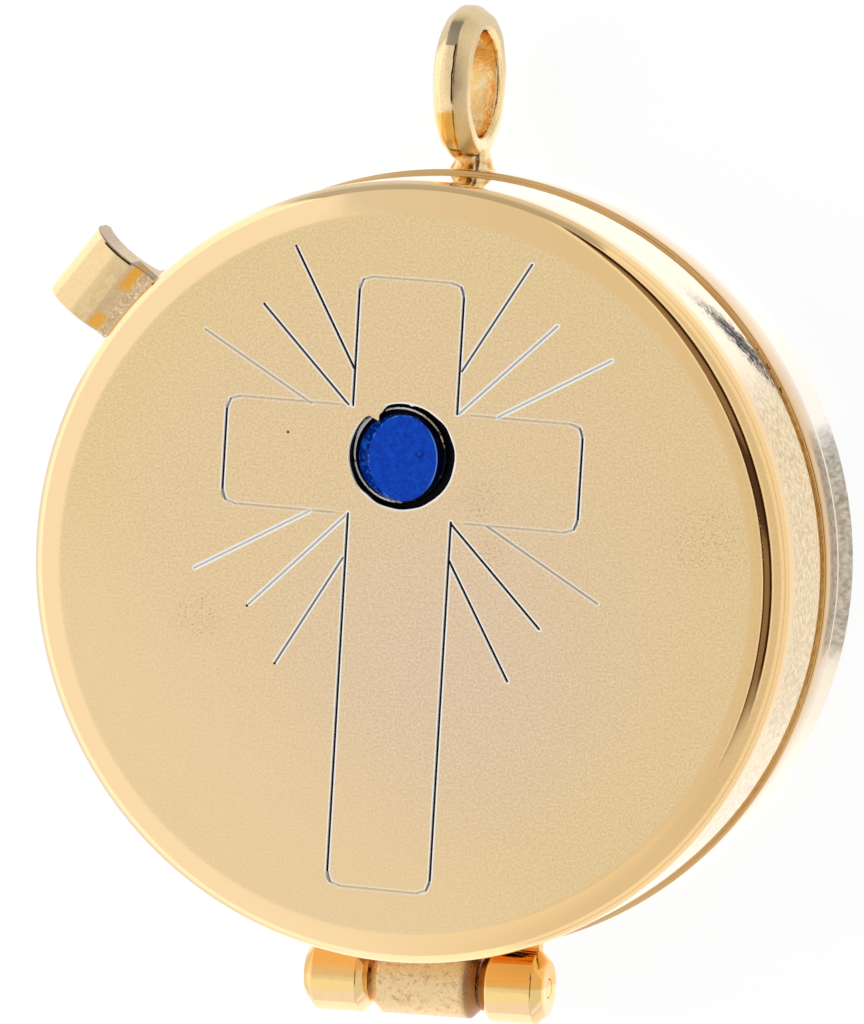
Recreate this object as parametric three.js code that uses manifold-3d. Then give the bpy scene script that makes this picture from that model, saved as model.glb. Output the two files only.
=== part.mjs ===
// A round pyx: a turned brass box for carrying hosts, with a hinged lid.
// It lies on its base. Z is up through the lid's face, Y points at the hanging ring.
// The hinge runs along X.
// All lengths are in millimetres.

import * as THREE from 'three';
import { mergeVertices } from 'three/addons/utils/BufferGeometryUtils.js';
import Module from 'manifold-3d';

// The box as a whole
const lidDiameter = 50;
const boxHeight = 20;
const partingHeight = 10;
const partingGap = 0.12;

// The lid
const lidWall = 1;
const lidPlate = 1.8;
const lidShoulder = 2;
const lidInnerFillet = 1;
const rimChamfer = 0.12;

// The cup
const cupInset = 0.1;
const cupFloor = 1.5;
const cupShoulder = 2;
const cupInnerFillet = 1.5;

// The rim ring: an outer band that carries the hinge and the hanging ring, and a lip that the lid slips over
const bandHeight = 4.33;
const bandProud = 0.25;
const bandSwell = 0.1;
const bandEdge = 0.15;
const seamGroove = 0.12;
const lipClearance = 0.3;
const lipThickness = 0.8;
const lipRise = 2.1;
const lipChamfer = 0.25;
const spigotThickness = 0.8;
const rebateDepth = 1.2;
const solderGap = 0.2;

// The stone and its recess
const stoneDiameter = 5.7;
const stoneHeight = 1.1;
const stoneClearance = 0.57;
const recessDepth = 1.25;
const stoneOffset = 7.58;
const stoneSideways = -0.2;
const stoneBaseShare = 0.9;
const stoneGirdleShare = 0.42;
const stoneTableShare = 0.78;

// The hinge, which sits a little to the left of the middle
const knuckleRadius = 2.4;
const knuckleChamfer = 0.66;
const centreInset = 0.11;
const hingeReach = 1.93;
const hingeClearance = 0.13;
const outerKnuckleLength = 4.3;
const centreKnuckleLength = 7.13;
const knuckleGap = 0.15;
const hingeOffset = -0.215;
const leafHeight = 1.75;
const pinRadius = 0.6;
const pinClearance = 0.08;

// The hanging ring and its foot
const ringOuterRadius = 5.05;
const ringInnerRadius = 3.4;
const ringWidth = 2.38;
const ringCorner = 0.55;
const ringStandoff = 0.38;
const footNeckRadius = 1.1;
const footBite = 0.9;
const footRadiusShare = 0.47;

// The thumb tab
const tabAngle = THREE.MathUtils.degToRad(142);
const tabWidth = 5.1;
const tabReach = 5.6;
const tabArchRadius = 2.45;
const tabLegDrop = 0.75;
const tabThickness = 2.5;
const tabTipLength = 0.85;
const tabLegClearance = 0.8;
const tabUndersideAngle = THREE.MathUtils.degToRad(30);

// Soldered pieces keep this gap to a curved wall, and cutters run past what they cut by the overrun
const seatGap = 0.15;
const overrun = 1;

// Facets
const boxSegments = 96;
const smallSegments = 32;
const ringSegments = 48;
const cornerSteps = 2;
const archSteps = 8;

// Sizes that follow from the ones above
const lidRadius = lidDiameter / 2;
const lidInnerRadius = lidRadius - lidWall;
const lidBottom = partingHeight + partingGap / 2;
const cupRadius = lidRadius - cupInset;
const seamHeight = partingHeight - bandHeight;
const bandTop = partingHeight - partingGap / 2;
const bandRadius = lidRadius + bandProud;
const lipOuterRadius = lidInnerRadius - lipClearance;
const mouthRadius = lipOuterRadius - lipThickness;
const lipTop = partingHeight + lipRise;
const rebateRadius = mouthRadius + spigotThickness + solderGap;
const recessRadius = stoneDiameter / 2 + stoneClearance;
const centreKnuckleRadius = knuckleRadius - centreInset;
const hingeAxisRadius = bandRadius + hingeReach;
const hingeLength = centreKnuckleLength + 2 * (outerKnuckleLength + knuckleGap);
const outerKnuckleX = (centreKnuckleLength + outerKnuckleLength) / 2 + knuckleGap;
const boreRadius = pinRadius + pinClearance;
const ringHeight = seamHeight + bandHeight / 2;
const ringCentreY = bandRadius + ringStandoff + ringOuterRadius;
const footRadius = bandHeight * footRadiusShare;

const wasm = await Module();
wasm.setup();

const polishedGold = new THREE.MeshStandardMaterial({ color: 0xf2d59b, roughness: 0.12, metalness: 1 });
const satinGold = new THREE.MeshStandardMaterial({ color: 0xe7c795, roughness: 0.35, metalness: 1 });
const castBrass = new THREE.MeshStandardMaterial({ color: 0xd6a06e, roughness: 0.5, metalness: 1 });
const pinBrass = new THREE.MeshStandardMaterial({ color: 0xd9bb82, roughness: 0.3, metalness: 1 });
const blueGlass = new THREE.MeshStandardMaterial({ color: 0x0b3fc4, roughness: 0.08, metalness: 0 });

// Turns a closed triangle mesh into a solid that can be joined and cut
function solidFrom(geometry) {
  const bare = geometry.clone();
  bare.deleteAttribute('normal');
  bare.deleteAttribute('uv');
  const merged = mergeVertices(bare);
  const corners = [];
  for (let i = 0; i < merged.index.count; i += 3) {
    const [a, b, c] = [0, 1, 2].map((k) => merged.index.getX(i + k));
    if (a !== b && b !== c && c !== a) corners.push(a, b, c);
  }
  const vertProperties = new Float32Array(merged.attributes.position.array);
  return new wasm.Manifold(new wasm.Mesh({ numProp: 3, vertProperties, triVerts: new Uint32Array(corners) }));
}

function geometryFrom(solid) {
  const result = solid.getMesh();
  const geometry = new THREE.BufferGeometry();
  geometry.setAttribute('position', new THREE.BufferAttribute(new Float32Array(result.vertProperties), 3));
  geometry.setIndex(new THREE.BufferAttribute(new Uint32Array(result.triVerts), 1));
  geometry.computeVertexNormals();
  return geometry;
}

function meshOf(name, solid, material) {
  const mesh = new THREE.Mesh(geometryFrom(solid), material);
  mesh.name = name;
  return mesh;
}

// Turns a profile of radius and height about the Z axis
function turned(profile, segments) {
  const geometry = new THREE.LatheGeometry(profile.getPoints(cornerSteps), segments);
  geometry.rotateX(Math.PI / 2);
  return geometry;
}

function cylinderAlongZ(radius, bottom, top, segments) {
  const profile = new THREE.Path();
  profile.moveTo(0, bottom);
  profile.lineTo(radius, bottom);
  profile.lineTo(radius, top);
  profile.lineTo(0, top);
  return turned(profile, segments);
}

// A cutter as wide as a wall of the box, for a piece whose own origin lies at the given place on the box
function wallCutter(wallRadius, origin) {
  const geometry = cylinderAlongZ(wallRadius + seatGap, -overrun, boxHeight + overrun, boxSegments);
  geometry.translate(-origin.x, -origin.y, -origin.z);
  return solidFrom(geometry);
}

// The turned cup: a flat base, rounded outer and inner corners, and a rebate for the rim ring
function bodyCup() {
  const innerCornerRadius = mouthRadius - cupInnerFillet;
  const innerCornerHeight = cupFloor + cupInnerFillet;
  const profile = new THREE.Path();
  profile.moveTo(0, 0);
  profile.lineTo(cupRadius - cupShoulder, 0);
  profile.absarc(cupRadius - cupShoulder, cupShoulder, cupShoulder, -Math.PI / 2, 0);
  profile.lineTo(cupRadius, seamHeight - seamGroove);
  profile.lineTo(cupRadius - seamGroove, seamHeight);
  profile.lineTo(rebateRadius, seamHeight);
  profile.lineTo(rebateRadius, seamHeight - rebateDepth);
  profile.lineTo(mouthRadius, seamHeight - rebateDepth);
  profile.lineTo(mouthRadius, innerCornerHeight);
  profile.absarc(innerCornerRadius, innerCornerHeight, cupInnerFillet, 0, -Math.PI / 2, true);
  profile.lineTo(0, cupFloor);
  return meshOf('body_cup', solidFrom(turned(profile, boxSegments)), polishedGold);
}

// The rim ring stands on the cup's wall. Its band swells a little and draws in towards the cup,
// and it is hollowed under the lid's knuckle
function rimRing() {
  const swellHeight = (seamHeight + bandTop) / 2;
  const spigotBottom = seamHeight - rebateDepth + solderGap;
  const profile = new THREE.Path();
  profile.moveTo(mouthRadius, spigotBottom);
  profile.lineTo(mouthRadius + spigotThickness, spigotBottom);
  profile.lineTo(mouthRadius + spigotThickness, seamHeight);
  profile.lineTo(cupRadius - seamGroove, seamHeight);
  profile.lineTo(cupRadius, seamHeight + seamGroove);
  profile.lineTo((cupRadius + bandRadius) / 2 + bandSwell, swellHeight);
  profile.lineTo(bandRadius, bandTop - bandEdge);
  profile.lineTo(bandRadius - bandEdge, bandTop);
  profile.lineTo(lipOuterRadius, bandTop);
  profile.lineTo(lipOuterRadius, lipTop - lipChamfer);
  profile.lineTo(lipOuterRadius - lipChamfer, lipTop);
  profile.lineTo(mouthRadius, lipTop);
  profile.lineTo(mouthRadius, spigotBottom);

  const half = (centreKnuckleLength + knuckleGap) / 2;
  const relief = cylinderAlongZ(centreKnuckleRadius + hingeClearance, -half, half, smallSegments);
  relief.rotateY(Math.PI / 2);
  relief.translate(hingeOffset, -hingeAxisRadius, partingHeight);
  const ring = solidFrom(turned(profile, boxSegments)).subtract(solidFrom(relief));
  return meshOf('rim_ring', ring, satinGold);
}

// The lid: a thick flat plate, a rounded shoulder and a skirt, with a round recess cut for the stone
function lidShell() {
  const ceiling = boxHeight - lidPlate;
  const shoulderStart = boxHeight - lidShoulder;
  const filletStart = ceiling - lidInnerFillet;
  const profile = new THREE.Path();
  profile.moveTo(0, ceiling);
  profile.lineTo(lidInnerRadius - lidInnerFillet, ceiling);
  profile.absarc(lidInnerRadius - lidInnerFillet, filletStart, lidInnerFillet, Math.PI / 2, 0, true);
  profile.lineTo(lidInnerRadius, lidBottom);
  profile.lineTo(lidRadius - rimChamfer, lidBottom);
  profile.lineTo(lidRadius, lidBottom + rimChamfer);
  profile.lineTo(lidRadius, shoulderStart);
  profile.absarc(lidRadius - lidShoulder, shoulderStart, lidShoulder, 0, Math.PI / 2);
  profile.lineTo(0, boxHeight);
  const recess = cylinderAlongZ(recessRadius, boxHeight - recessDepth, boxHeight + overrun, ringSegments);
  recess.translate(stoneSideways, stoneOffset, 0);
  const shell = solidFrom(turned(profile, boxSegments)).subtract(solidFrom(recess));
  return meshOf('lid_shell', shell, satinGold);
}

// The stone: a flat table over a bevelled crown, standing on the floor of its recess
function flatStone() {
  const radius = stoneDiameter / 2;
  const profile = new THREE.Path();
  profile.moveTo(0, 0);
  profile.lineTo(radius * stoneBaseShare, 0);
  profile.lineTo(radius, stoneHeight * stoneGirdleShare);
  profile.lineTo(radius * stoneTableShare, stoneHeight);
  profile.lineTo(0, stoneHeight);
  const mesh = meshOf('stone', solidFrom(turned(profile, smallSegments)), blueGlass);
  mesh.position.set(stoneSideways, stoneOffset, boxHeight - recessDepth);
  return mesh;
}

// A hinge knuckle: a chamfered barrel about the pin, and a leaf that reaches from it to the wall
function hingeKnuckle(name, centreX, length, radius, leafBottom, leafTop, wallRadius, material) {
  const origin = new THREE.Vector3(centreX, -hingeAxisRadius, partingHeight);
  const half = length / 2;
  const barrel = new THREE.Path();
  barrel.moveTo(0, -half);
  barrel.lineTo(radius - knuckleChamfer, -half);
  barrel.lineTo(radius, knuckleChamfer - half);
  barrel.lineTo(radius, half - knuckleChamfer);
  barrel.lineTo(radius - knuckleChamfer, half);
  barrel.lineTo(0, half);
  const barrelGeometry = turned(barrel, smallSegments);
  barrelGeometry.rotateY(Math.PI / 2);

  const leafLength = length - 2 * knuckleChamfer;
  const leafReach = hingeAxisRadius - wallRadius + overrun + radius;
  const leafGeometry = new THREE.BoxGeometry(leafLength, leafReach, leafTop - leafBottom);
  leafGeometry.translate(0, leafReach / 2, (leafTop + leafBottom) / 2 - partingHeight);

  const bore = cylinderAlongZ(boreRadius, -half - overrun, half + overrun, smallSegments);
  bore.rotateY(Math.PI / 2);
  const solid = solidFrom(barrelGeometry)
    .add(solidFrom(leafGeometry))
    .subtract(wallCutter(wallRadius, origin))
    .subtract(solidFrom(bore));
  const mesh = meshOf(name, solid, material);
  mesh.position.copy(origin);
  return mesh;
}

function bodyKnuckle(name, side) {
  const leafTop = bandTop;
  const leafBottom = leafTop - leafHeight;
  const centreX = hingeOffset + side * outerKnuckleX;
  return hingeKnuckle(
    name, centreX, outerKnuckleLength, knuckleRadius,
    leafBottom, leafTop, bandRadius, polishedGold,
  );
}

function lidKnuckle() {
  const leafBottom = lidBottom + rimChamfer;
  const leafTop = leafBottom + leafHeight - centreInset;
  return hingeKnuckle(
    'hinge_knuckle_centre', hingeOffset, centreKnuckleLength, centreKnuckleRadius,
    leafBottom, leafTop, lidRadius, castBrass,
  );
}

function hingePin() {
  const half = hingeLength / 2;
  const geometry = cylinderAlongZ(pinRadius, -half, half, smallSegments);
  geometry.rotateY(Math.PI / 2);
  const mesh = meshOf('hinge_pin', solidFrom(geometry), pinBrass);
  mesh.position.set(hingeOffset, -hingeAxisRadius, partingHeight);
  return mesh;
}

// The hanging ring stands on edge. Its section is a rounded oblong and its flared foot fits the band
function hangingRing() {
  const origin = new THREE.Vector3(0, ringCentreY, ringHeight);
  const half = ringWidth / 2;
  const inner = ringInnerRadius;
  const outer = ringOuterRadius;
  const section = new THREE.Path();
  section.moveTo(inner + ringCorner, -half);
  section.lineTo(outer - ringCorner, -half);
  section.absarc(outer - ringCorner, ringCorner - half, ringCorner, -Math.PI / 2, 0);
  section.lineTo(outer, half - ringCorner);
  section.absarc(outer - ringCorner, half - ringCorner, ringCorner, 0, Math.PI / 2);
  section.lineTo(inner + ringCorner, half);
  section.absarc(inner + ringCorner, half - ringCorner, ringCorner, Math.PI / 2, Math.PI);
  section.lineTo(inner, ringCorner - half);
  section.absarc(inner + ringCorner, ringCorner - half, ringCorner, Math.PI, 3 * Math.PI / 2);
  const ring = turned(section, ringSegments);
  ring.rotateY(Math.PI / 2);

  const footHeight = ringStandoff + footBite;
  const footBottom = -outer - ringStandoff;
  const flare = new THREE.Path();
  flare.moveTo(0, -overrun);
  flare.lineTo(footRadius, -overrun);
  flare.lineTo(footRadius, 0);
  flare.quadraticCurveTo(footNeckRadius, 0, footNeckRadius, footHeight);
  flare.lineTo(0, footHeight);
  const foot = new THREE.LatheGeometry(flare.getPoints(cornerSteps * 2), smallSegments);
  foot.translate(0, footBottom, 0);

  const solid = solidFrom(ring).add(solidFrom(foot)).subtract(wallCutter(bandRadius, origin));
  const mesh = meshOf('hanging_ring', solid, polishedGold);
  mesh.position.copy(origin);
  return mesh;
}

// The thumb tab: a thick strip whose leg lies on the lid's skirt and whose end arches out and back down
function thumbTab() {
  const archX = lidRadius + tabReach - tabArchRadius;
  const legBottom = partingHeight + tabLegClearance;
  const underZ = legBottom + tabLegDrop;
  const archZ = underZ + tabThickness;
  const tip = lidRadius + tabReach;
  const underX = tabArchRadius * Math.cos(tabUndersideAngle);
  const underRise = tabArchRadius * Math.sin(tabUndersideAngle);
  const section = new THREE.Shape();
  section.moveTo(tip, archZ);
  section.absarc(archX, archZ, tabArchRadius, 0, Math.PI);
  section.lineTo(lidRadius - overrun, archZ - tabTipLength);
  section.lineTo(lidRadius - overrun, legBottom);
  section.lineTo(archX - underX, legBottom);
  section.lineTo(archX - underX, underZ + underRise);
  section.absarc(archX, underZ, tabArchRadius, Math.PI - tabUndersideAngle, tabUndersideAngle, true);
  section.lineTo(tip, archZ - tabTipLength);
  const geometry = new THREE.ExtrudeGeometry(section, {
    depth: tabWidth, bevelEnabled: false, curveSegments: archSteps,
  });
  geometry.translate(0, 0, -tabWidth / 2);
  geometry.rotateX(Math.PI / 2);
  const solid = solidFrom(geometry).subtract(wallCutter(lidRadius, new THREE.Vector3()));
  const mesh = meshOf('thumb_tab', solid, polishedGold);
  mesh.rotation.z = tabAngle;
  return mesh;
}

const body = new THREE.Group();
body.add(bodyCup(), rimRing(), hangingRing(), hingePin());
body.add(bodyKnuckle('hinge_knuckle_left', -1), bodyKnuckle('hinge_knuckle_right', 1));

const lid = new THREE.Group();
lid.add(lidShell(), flatStone(), lidKnuckle(), thumbTab());

const pyx = new THREE.Group();
pyx.add(body, lid);

export default pyx;
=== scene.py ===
import math

import bpy
from mathutils import Matrix, Vector, noise


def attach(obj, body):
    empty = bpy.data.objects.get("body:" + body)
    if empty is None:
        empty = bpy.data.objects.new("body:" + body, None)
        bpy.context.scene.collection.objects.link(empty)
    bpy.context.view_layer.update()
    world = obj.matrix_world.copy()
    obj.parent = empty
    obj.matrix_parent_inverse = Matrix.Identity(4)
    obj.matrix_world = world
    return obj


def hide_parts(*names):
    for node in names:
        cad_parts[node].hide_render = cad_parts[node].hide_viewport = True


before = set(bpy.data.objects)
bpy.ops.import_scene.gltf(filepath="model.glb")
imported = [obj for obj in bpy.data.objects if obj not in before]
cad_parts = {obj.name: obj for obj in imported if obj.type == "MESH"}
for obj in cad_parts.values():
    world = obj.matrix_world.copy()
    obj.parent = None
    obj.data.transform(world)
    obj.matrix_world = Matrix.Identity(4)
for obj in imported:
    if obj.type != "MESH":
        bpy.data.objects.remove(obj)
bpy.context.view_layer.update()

# The cup: a brass shell turned on a lathe and gilded. It has a flat underside, a rounded foot
# and a rebate at the top of its wall, where the rim ring is seated and soldered.
MM = 0.001
CUP_RADIUS = 24.9
MOUTH_RADIUS = 22.9
FLOOR_THICKNESS = 1.5
FOOT_RADIUS = 2.0
INNER_CORNER = 1.5
SEAM_HEIGHT = 5.67
REBATE_RADIUS = 23.9
REBATE_DEPTH = 1.2
SEAM_EDGE = 0.1
WALL_STEP = 0.15
FLAT_STEP = 0.3
TURNED_STEPS = 224
# Pale gilt, kept on the cup's right side as painted highlight; elsewhere it gives way to the richer colour.
PAINTED_HIGHLIGHT_GILT = (1.0, 0.94, 0.83, 1)
PAINTED_HIGHLIGHT_DRIFT = (0.96, 0.87, 0.72, 1)
RICH_GILT = (0.93, 0.73, 0.46, 1)


def arc(across, up, radius, start, end, steps=8):
    """Points on an arc in a half section: distance from the axis, and height. Angles in degrees."""
    turns = [math.radians(start + (end - start) * i / steps) for i in range(steps + 1)]
    return [(across + radius * math.cos(t), up + radius * math.sin(t)) for t in turns]


def draw(name, points):
    """Draws a line through points in millimetres, a vertex at a time, and leaves it open in edit mode."""
    bpy.ops.object.select_all(action="DESELECT")
    bpy.ops.mesh.primitive_plane_add(size=MM)
    piece = bpy.context.object
    piece.name = piece.data.name = name
    bpy.ops.object.mode_set(mode="EDIT")
    bpy.ops.mesh.merge(type="CENTER")
    bpy.ops.transform.translate(value=Vector(points[0]) * MM)
    for here, there in zip(points, points[1:]):
        step = (Vector(there) - Vector(here)) * MM
        bpy.ops.mesh.extrude_vertices_move(TRANSFORM_OT_translate={"value": step})
    return piece


def close_up():
    """Merges what lies together in the open mesh, turns its faces outwards and leaves edit mode."""
    bpy.ops.mesh.select_all(action="SELECT")
    bpy.ops.mesh.remove_doubles(threshold=MM / 1000)
    bpy.ops.mesh.normals_make_consistent(inside=False)
    bpy.ops.object.mode_set(mode="OBJECT")


def turn(name, points, steps=TURNED_STEPS, centre=(0, 0, 0), axis=(0, 0, 1)):
    """Turns a half section about an axis, as on a lathe."""
    piece = draw(name, points)
    bpy.ops.mesh.select_all(action="SELECT")
    bpy.ops.mesh.spin(steps=steps, angle=math.tau, center=Vector(centre) * MM, axis=axis)
    close_up()
    return piece


def upright(section):
    """A half section of distances and heights, stood in the XZ plane for turning about Z."""
    return [(across, 0, up) for across, up in section]


def apply(piece, kind, **settings):
    """Adds a modifier to the piece and applies it."""
    bpy.ops.object.select_all(action="DESELECT")
    bpy.context.view_layer.objects.active = piece
    piece.select_set(True)
    modifier = piece.modifiers.new(kind, kind)
    for setting, value in settings.items():
        setattr(modifier, setting, value)
    bpy.ops.object.modifier_apply(modifier=modifier.name)


def smooth(piece, degrees=28):
    """Shades the piece smooth up to an angle, with its flat faces kept flat."""
    bpy.ops.object.select_all(action="DESELECT")
    bpy.context.view_layer.objects.active = piece
    piece.select_set(True)
    bpy.ops.object.shade_smooth_by_angle(angle=math.radians(degrees))
    apply(piece, "WEIGHTED_NORMAL", keep_sharp=True)


class Wire:
    """A node's output. Sums written with it add Math nodes to its tree."""

    def __init__(self, tree, socket=None):
        self.tree = tree
        self.socket = socket

    def node(self, kind, settings, values, output=0):
        """Adds a node. Its settings are set first, then the values or wires of its sockets."""
        made = self.tree.nodes.new("ShaderNode" + kind)
        for name, setting in settings.items():
            if name == "stops":
                ramp = made.color_ramp.elements
                while len(ramp) < len(setting):
                    ramp.new(0.5)
                for stop, (place, colour) in zip(ramp, setting):
                    stop.position = place
                    stop.color = colour
            else:
                setattr(made, name, setting)
        for place, value in values.items():
            if isinstance(value, Wire):
                self.tree.links.new(value.socket, made.inputs[place])
            else:
                made.inputs[place].default_value = value
        return Wire(self.tree, made.outputs[output] if made.outputs else None)

    def math(self, operation, *values):
        return self.node("Math", {"operation": operation}, dict(enumerate(values)))

    def __add__(self, other):
        return self.math("ADD", self, other)

    def __sub__(self, other):
        return self.math("SUBTRACT", self, other)

    def __rsub__(self, other):
        return self.math("SUBTRACT", other, self)

    def __mul__(self, other):
        return self.math("MULTIPLY", self, other)

    def __truediv__(self, other):
        return self.math("DIVIDE", self, other)

    __radd__ = __add__
    __rmul__ = __mul__

    def step(self, low, high):
        """0 below low, 1 above high and smooth between, or the other way round if low is above high."""
        settings = {"interpolation_type": "SMOOTHSTEP"}
        return self.node("MapRange", settings, {0: self, 1: low, 2: high, 3: 0, 4: 1})

    def tint(self, colour, other):
        """The first colour where this is 0 and the other where it is 1."""
        return self.node("Mix", {"data_type": "RGBA"}, {0: self, 6: colour, 7: other}, 2)

    def noise(self, scale, detail=3, roughness=0.5):
        """Noise from 0 to 1 on this place, with scale in lumps to the millimetre."""
        values = {"Vector": self, "Scale": scale, "Detail": detail, "Roughness": roughness}
        return self.node("TexNoise", {}, values)

    def parts(self):
        return [self.node("SeparateXYZ", {}, {0: self}, i) for i in range(3)]

    def at(self, *values):
        return self.node("CombineXYZ", {}, dict(enumerate(values)))

    def bump(self, height, strength, reach):
        values = {"Strength": strength, "Distance": reach * MM, "Height": height}
        return self.node("Bump", {}, values)


def new_material(name):
    """An empty material, and its place in millimetres on the object."""
    material = bpy.data.materials.new(name)
    material.use_nodes = True
    tree = material.node_tree
    tree.nodes.clear()
    objects = Wire(tree).node("TexCoord", {}, {}, "Object")
    place = objects.node("VectorMath", {"operation": "SCALE"}, {0: objects, "Scale": 1 / MM})
    return material, place


def show(material, place, **sockets):
    """Ends a material in one Principled shader."""
    values = {name.replace("_", " "): value for name, value in sockets.items()}
    shader = place.node("BsdfPrincipled", {}, values)
    place.node("OutputMaterial", {}, {"Surface": shader})
    return material


def polished_gilt(name, colour, deeper, gloss, ripple, richer_off_highlight=None):
    """Bright gilding: a slow drift of tone, fine wiping marks, and the ripple that polishing leaves.

    It may be richer away from the right side; the pale tones kept on the right are painted highlight.
    """
    material, place = new_material(name)
    drift = place.noise(0.12, 2).step(0.35, 0.68)
    wiping = place.noise(3.0, 4, 0.6)
    x, y, z = place.parts()
    lathe_marks = place.at(place.math("SQRT", x * x + y * y), z * 3, 0).noise(2.2, 3, 0.6)
    height = place.noise(0.35, 2) + lathe_marks * 0.1
    tone = drift.tint(colour, deeper)
    if richer_off_highlight:
        # Painted highlight: the right side keeps the pale tones, and the rest takes the richer colour.
        off_highlight = place.math("MAXIMUM", (x + drift * 3).step(10, -4), y.step(10, 4) * 0.6)
        tone = off_highlight.tint(tone, richer_off_highlight)
    return show(
        material, place,
        Base_Color=tone,
        Metallic=1.0,
        Roughness=wiping * 0.05 + (gloss - 0.025),
        Normal=place.bump(height, 1.0, ripple),
    )


def wear(piece, body, node, slot, *materials):
    """Gives a piece its materials and its place in the moving model."""
    for material in materials:
        piece.data.materials.append(material)
    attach(piece, body)
    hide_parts(node)


cup_section = [
    (0, 0), (CUP_RADIUS - FOOT_RADIUS - FLAT_STEP, 0),
    *arc(CUP_RADIUS - FOOT_RADIUS, FOOT_RADIUS, FOOT_RADIUS, -90, 0, 10),
    (CUP_RADIUS, SEAM_HEIGHT - SEAM_EDGE - WALL_STEP),
    *arc(CUP_RADIUS - SEAM_EDGE, SEAM_HEIGHT - SEAM_EDGE, SEAM_EDGE, 0, 90, 4),
    (REBATE_RADIUS, SEAM_HEIGHT), (REBATE_RADIUS, SEAM_HEIGHT - REBATE_DEPTH),
    (MOUTH_RADIUS, SEAM_HEIGHT - REBATE_DEPTH),
    *arc(MOUTH_RADIUS - INNER_CORNER, FLOOR_THICKNESS + INNER_CORNER, INNER_CORNER, 0, -90, 8),
    (MOUTH_RADIUS - INNER_CORNER - FLAT_STEP, FLOOR_THICKNESS), (0, FLOOR_THICKNESS),
]
cup = turn("cup", upright(cup_section))
smooth(cup)
cup_gilt = polished_gilt("cup_gilt", PAINTED_HIGHLIGHT_GILT, PAINTED_HIGHLIGHT_DRIFT, 0.07, 0.012, RICH_GILT)
wear(cup, "box", "body_cup", "cup_gilt", cup_gilt)

# The rim ring: a turned brass ring soldered on the cup. Its band swells a little and draws in
# towards the seam, its lip stands up inside the lid, and it is hollowed under the lid's knuckle.
PARTING = 10.0
HINGE_Y = -27.18
HINGE_MIDDLE = -0.215
HOLLOW_HALF = 3.64
HOLLOW_RADIUS = 2.42
BAND_RADIUS = 25.25
BAND_TOP = 9.94
BAND_EDGE = 0.16
LIP_RADIUS = 23.7
LIP_TOP = 12.1
SPIGOT_RADIUS = 23.7
SPIGOT_BOTTOM = 4.67
BAND_SWELL = 0.4
BAND_STEPS = 12
LIP_CHAMFER = 0.25
LIP_INNER_CHAMFER = 0.1
rim_section = [
    (MOUTH_RADIUS, SPIGOT_BOTTOM), (SPIGOT_RADIUS, SPIGOT_BOTTOM), (SPIGOT_RADIUS, SEAM_HEIGHT),
    *arc(CUP_RADIUS - SEAM_EDGE, SEAM_HEIGHT + SEAM_EDGE, SEAM_EDGE, -90, 0, 4),
]
band_low, band_high = SEAM_HEIGHT + SEAM_EDGE, BAND_TOP - BAND_EDGE
for i in range(1, BAND_STEPS):
    share = i / BAND_STEPS
    swell = CUP_RADIUS + (BAND_RADIUS - CUP_RADIUS) * share + BAND_SWELL * share * (1 - share)
    rim_section.append((swell, band_low + (band_high - band_low) * share))
rim_section += [
    *arc(BAND_RADIUS - BAND_EDGE, BAND_TOP - BAND_EDGE, BAND_EDGE, 0, 90, 4),
    (LIP_RADIUS, BAND_TOP), (LIP_RADIUS, LIP_TOP - LIP_CHAMFER), (LIP_RADIUS - LIP_CHAMFER, LIP_TOP),
    (MOUTH_RADIUS + LIP_INNER_CHAMFER, LIP_TOP), (MOUTH_RADIUS, LIP_TOP - LIP_INNER_CHAMFER),
    (MOUTH_RADIUS, SPIGOT_BOTTOM),
]
rim = turn("rim_band", upright(rim_section))
hollow = turn("hollow", [
    (across, HINGE_Y, PARTING + out) for across, out in
    ((-HOLLOW_HALF, 0), (-HOLLOW_HALF, HOLLOW_RADIUS), (HOLLOW_HALF, HOLLOW_RADIUS), (HOLLOW_HALF, 0))
], 64, (0, HINGE_Y, PARTING), (1, 0, 0))
for corner in hollow.data.vertices:
    corner.co.x += HINGE_MIDDLE * MM
apply(rim, "BOOLEAN", operation="DIFFERENCE", object=hollow, solver="EXACT")
bpy.data.objects.remove(hollow)
smooth(rim)
BAND_GILT = (0.75, 0.49, 0.22, 1)
BAND_SHADE = (0.69, 0.43, 0.18, 1)
band_gilt = polished_gilt("band_gilt", BAND_GILT, BAND_SHADE, 0.10, 0.012)
wear(rim, "box", "rim_ring", "rim_gilt", band_gilt)

# The hinge: two polished knuckles on the band. Each is a barrel with chamfered ends and a leaf
# that is soldered to the band's wall, bored for the pin.
KNUCKLE_RADIUS = 2.4
KNUCKLE_HALF = 2.15
KNUCKLE_CHAMFER = 0.66
KNUCKLE_X = 5.865
KNUCKLE_EASING = 0.09
LEAF_WIDTH = 2.4
LEAF_EASING = 0.12
LEAF_START = 0.95
LEAF_BITE = 0.05
OUTER_LEAF = (8.2, 9.3)
BAND_WALL = 25.2
BORE = 0.63


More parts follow.
